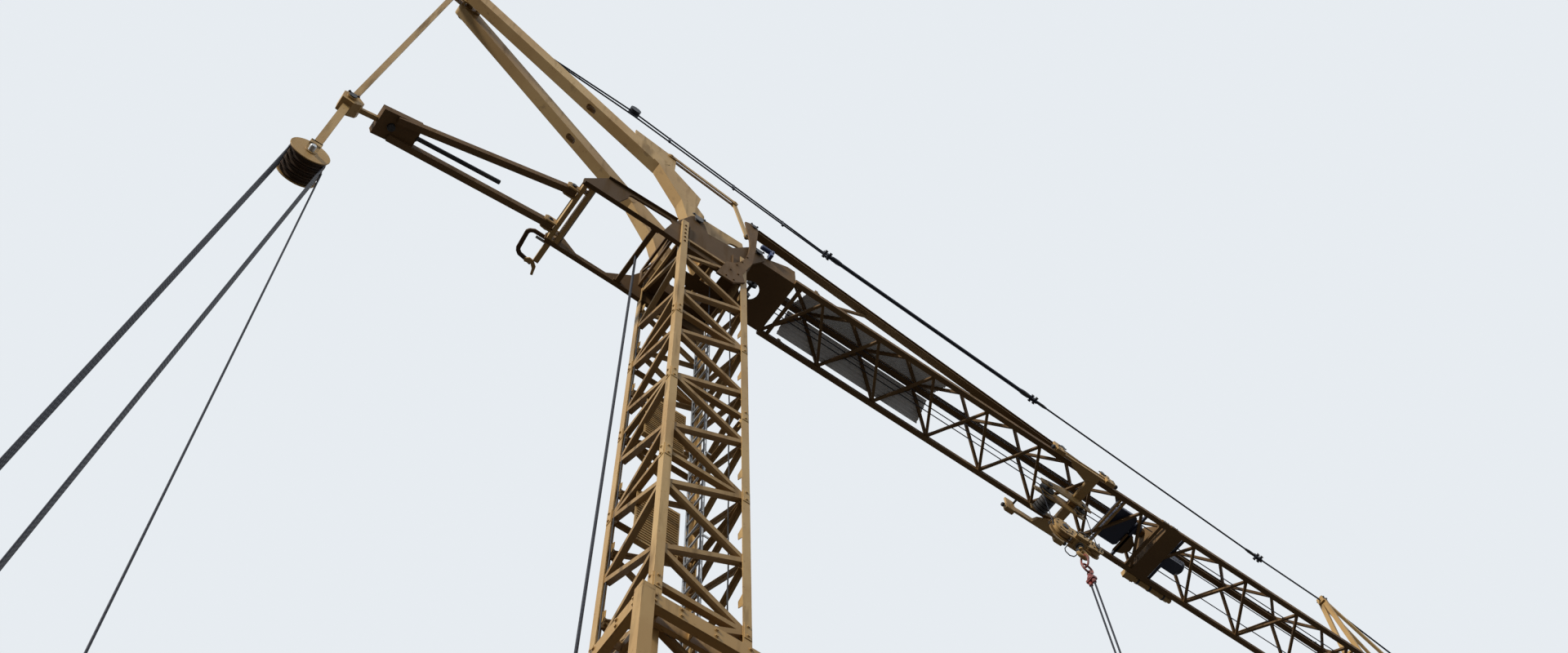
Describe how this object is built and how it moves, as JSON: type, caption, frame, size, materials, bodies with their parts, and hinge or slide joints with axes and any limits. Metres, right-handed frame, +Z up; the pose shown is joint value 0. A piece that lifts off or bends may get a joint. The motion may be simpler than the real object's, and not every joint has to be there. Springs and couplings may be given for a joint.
{
  "type": "self-erecting tower crane",
  "caption": "Self-erecting tower crane with a telescopic lattice mast, folding three-chord jib, rear guy tackle, ballasted slewing platform and four outriggers.",
  "frame": {"origin": "on the slewing axis at ground level, under the undersides of the foot pads", "axes": "+X along the jib, +Y to the jib's left, +Z up"},
  "size_m": [35.96, 6, 31.4699],
  "materials": {
    "ochre_paint": "weathered ochre machine paint with dust and worn edges",
    "cabinet_paint": "ochre sheet metal, satin",
    "steel_rope": "greased steel wire rope",
    "galvanised_steel": "weathered zinc",
    "dark_steel": "dark painted and greased steel",
    "hook_steel": "forged steel and wire, worn red paint on the coupling",
    "ballast": "cast concrete, rough and stained"
  },
  "bodies": {
    "undercarriage": {"chassis_frame": "ochre_paint", "outrigger_arms": "ochre_paint", "outrigger_jacks": "galvanised_steel", "foot_pads": "dark_steel", "slew_ring_lower": "dark_steel"},
    "upperworks": {"slew_ring_upper": "dark_steel", "platform_frame": "ochre_paint", "ballast_blocks": "ballast", "hoist_winch": "dark_steel", "guy_winch": "dark_steel", "control_cabinet": "cabinet_paint", "tail_sheaves": "dark_steel", "lower_mast_posts": "ochre_paint", "lower_mast_side_faces": "ochre_paint", "lower_mast_end_faces": "ochre_paint", "lower_mast_collar": "ochre_paint", "upper_mast_posts": "ochre_paint", "upper_mast_side_faces": "ochre_paint", "upper_mast_rear_face": "ochre_paint", "upper_mast_front_face": "ochre_paint", "mast_inner_plates": "ochre_paint", "mast_ladder": "galvanised_steel", "head_side_plates": "ochre_paint", "head_horns": "ochre_paint", "head_cross_plates": "ochre_paint", "head_rocker": "ochre_paint", "rear_hinge_beam": "ochre_paint", "fork_strut": "ochre_paint", "fold_link": "ochre_paint", "frame_near_leg": "ochre_paint", "frame_far_leg": "ochre_paint", "apex_head": "ochre_paint", "guy_links": "ochre_paint", "guy_sheave_block": "dark_steel", "guy_rope_falls": "steel_rope", "mast_rope": "steel_rope", "inner_jib_chords": "ochre_paint", "inner_jib_lacing": "ochre_paint", "middle_jib_chords": "ochre_paint", "middle_jib_lacing": "ochre_paint", "outer_jib_chords": "ochre_paint", "outer_jib_lacing": "ochre_paint", "jib_root_frame": "ochre_paint", "pivot_pins": "dark_steel", "jib_side_panels": "galvanised_steel", "fold_bulkheads": "ochre_paint", "trolley_drive": "dark_steel", "chord_cylinder": "ochre_paint", "jib_ropes": "steel_rope", "folding_strut": "ochre_paint", "kingpost": "ochre_paint", "jib_tie_line": "steel_rope", "jib_tip": "ochre_paint"},
    "trolley": {"trolley_frame": "ochre_paint", "trolley_wheels": "dark_steel", "trolley_sheaves": "dark_steel", "hook_block": "ochre_paint", "hook_falls": "steel_rope"},
    "hook": {"hook": "ochre_paint", "sling": "hook_steel"}
  },
  "joints": [
    {"name": "slewing", "type": "hinge", "parent": "undercarriage", "child": "upperworks", "pos_m": [0, 0, 1], "axis": [0, 0, 1], "continuous": true},
    {"name": "trolley_travel", "type": "slide", "parent": "upperworks", "child": "trolley", "axis": [1, 0, 0], "range_m": [-4.9, 20.6]},
    {"name": "hook_swivel", "type": "hinge", "parent": "trolley", "child": "hook", "pos_m": [7.7, 0, 24.3], "axis": [0, 0, 1], "continuous": true}
  ]
}
